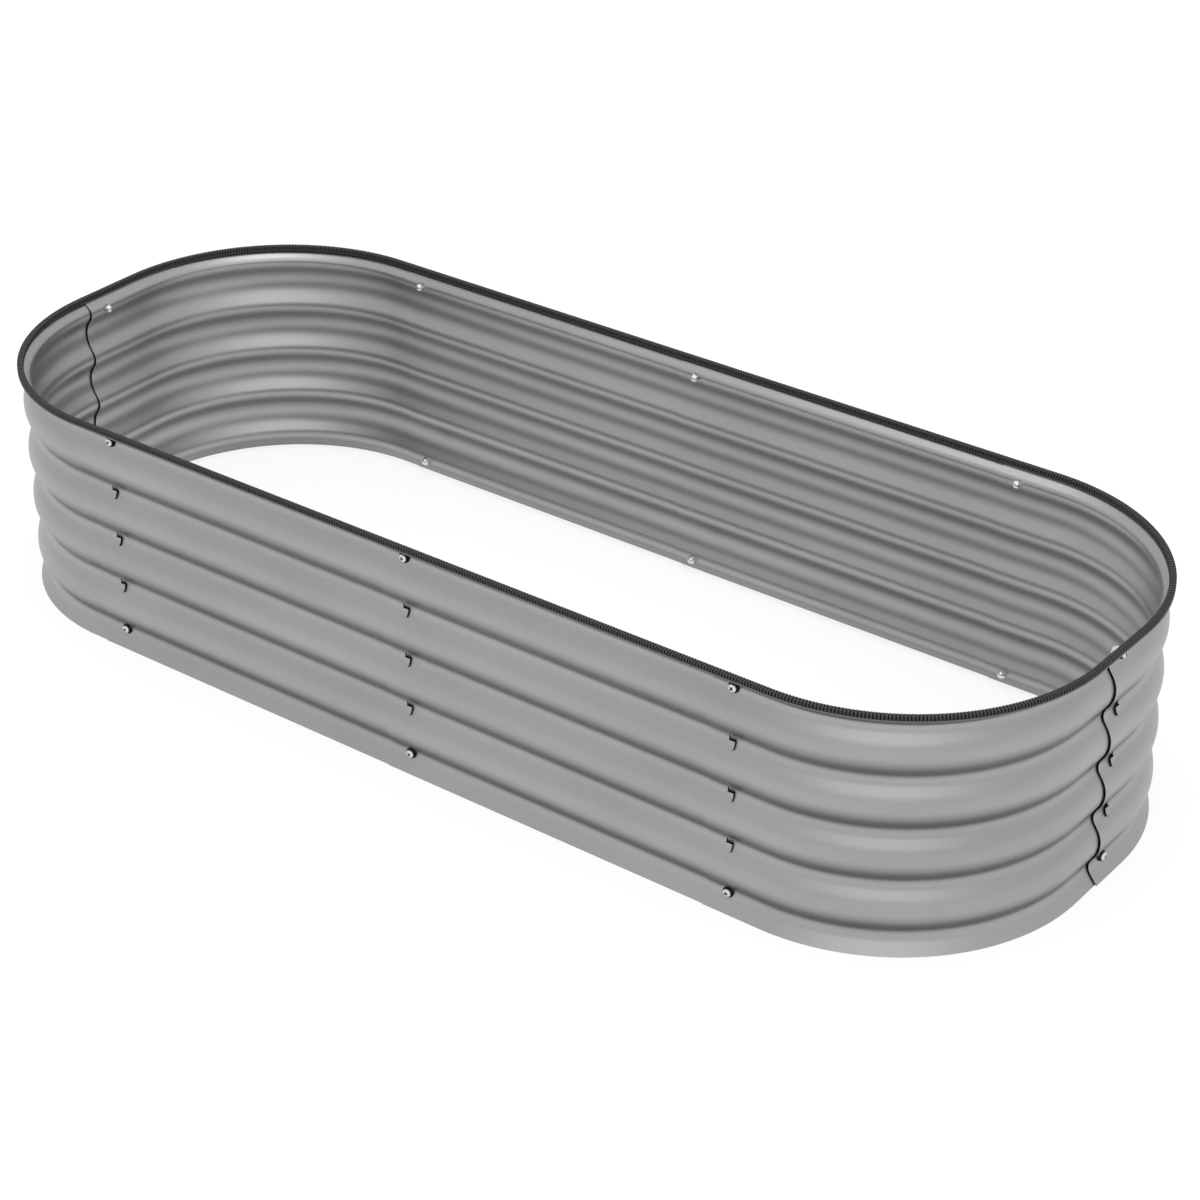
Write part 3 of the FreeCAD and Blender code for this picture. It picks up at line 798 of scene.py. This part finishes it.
def zinc_plate():
    material, tree, shader = node_material("zinc_plated_steel")
    shader.inputs["Metallic"].default_value = 1.0
    blot = mapped_noise(tree, 700, 3, 0.5)
    colour = mix_colours(tree, blot.outputs["Fac"], (0.62, 0.63, 0.64), (0.78, 0.78, 0.78))
    tree.links.new(colour, shader.inputs["Base Color"])
    rough = ramp(tree, blot.outputs["Fac"], 0.3, 0.7, 0.2, 0.34)
    tree.links.new(rough, shader.inputs["Roughness"])
    return material


# ---------------------------------------------------------------- studio

def seen_directly(tree):
    """1 for camera, glossy and transmitted rays, 0 for the rays that light the scene."""
    path = add(tree, "ShaderNodeLightPath")
    total = path.outputs["Is Camera Ray"]
    for name in ("Is Glossy Ray", "Is Transmission Ray"):
        node = add(tree, "ShaderNodeMath", operation="MAXIMUM")
        tree.links.new(total, node.inputs[0])
        tree.links.new(path.outputs[name], node.inputs[1])
        total = node.outputs[0]
    return total


FLOOR_COLOUR = (0.25, 0.25, 0.25)
FLOOR_LIFT = 0.8


def build_floor():
    material = bpy.data.materials.new("pale_floor")
    material.use_nodes = True
    tree = material.node_tree
    tree.nodes.clear()
    output = tree.nodes.new("ShaderNodeOutputMaterial")
    diffuse = add(tree, "ShaderNodeBsdfDiffuse")
    diffuse.inputs["Color"].default_value = (*FLOOR_COLOUR, 1)
    lift = add(tree, "ShaderNodeEmission")
    strength = add(tree, "ShaderNodeMath", operation="MULTIPLY")
    strength.inputs[1].default_value = FLOOR_LIFT
    tree.links.new(seen_directly(tree), strength.inputs[0])
    tree.links.new(strength.outputs[0], lift.inputs["Strength"])
    both = add(tree, "ShaderNodeAddShader")
    tree.links.new(diffuse.outputs[0], both.inputs[0])
    tree.links.new(lift.outputs[0], both.inputs[1])
    tree.links.new(both.outputs[0], output.inputs["Surface"])
    size = 30.0
    corners = [(-size, -size, 0), (size, -size, 0), (size, size, 0), (-size, size, 0)]
    floor = new_object("floor", [(x, y, -0.0002) for x, y, _ in corners], [[0, 1, 2, 3]], [material])


WORLD_FILL = 0.9
WORLD_SEEN = 0.9
# name, size in metres, power in watts, place, aimed at
LAMPS = [
    ("key", 5.0, 38, (1.67, -2.13, 3.3), (0, 0, 0.15)),
    ("top", 1.2, 14, (-0.55, 0.1, 3.4), (-0.55, 0.1, 0)),
]


def build_light():
    world = bpy.data.worlds.new("studio")
    bpy.context.scene.world = world
    world.use_nodes = True
    background = world.node_tree.nodes["Background"]
    background.inputs["Color"].default_value = (1, 1, 1, 1)
    strength = add(world.node_tree, "ShaderNodeMapRange")
    strength.inputs["To Min"].default_value = WORLD_FILL
    strength.inputs["To Max"].default_value = WORLD_SEEN
    world.node_tree.links.new(seen_directly(world.node_tree), strength.inputs["Value"])
    world.node_tree.links.new(strength.outputs["Result"], background.inputs["Strength"])
    for name, size, power, place, target in LAMPS:
        data = bpy.data.lights.new(name, "AREA")
        data.shape = "DISK"
        data.size = size
        data.energy = power
        lamp = bpy.data.objects.new(name, data)
        lamp.location = place
        aim = Vector(target) - Vector(place)
        lamp.rotation_euler = aim.to_track_quat("-Z", "Y").to_euler()
        bpy.context.scene.collection.objects.link(lamp)


def build_camera():
    """The photograph's viewpoint."""
    data = bpy.data.cameras.new("photo_view")
    data.lens = 89.67
    data.sensor_width = 36
    camera = bpy.data.objects.new("photo_view", data)
    camera.location = (1.9657, -2.4974, 1.9456)
    camera.rotation_euler = [math.radians(angle) for angle in (59.771, -0.031, 37.341)]
    bpy.context.scene.collection.objects.link(camera)
    bpy.context.scene.camera = camera


zinc = zinc_plate()
rubber = black_rubber()
dark = shade_and_washer_black()
build_panels([sheet_metal(), dark])
build_fasteners("bolt_set", "bolts", bolt(), [zinc, dark])
build_fasteners("washer_set", "rubber_washers", washer(), [dark], bends=True)
build_fasteners("cap_nut_set", "nuts", cap_nut(), [zinc], on_inner_sheet=True)
build_trim([rubber, dark, lip_highlight_rubber()])
build_floor()
build_light()
build_camera()
bpy.context.scene.view_settings.view_transform = "Standard"
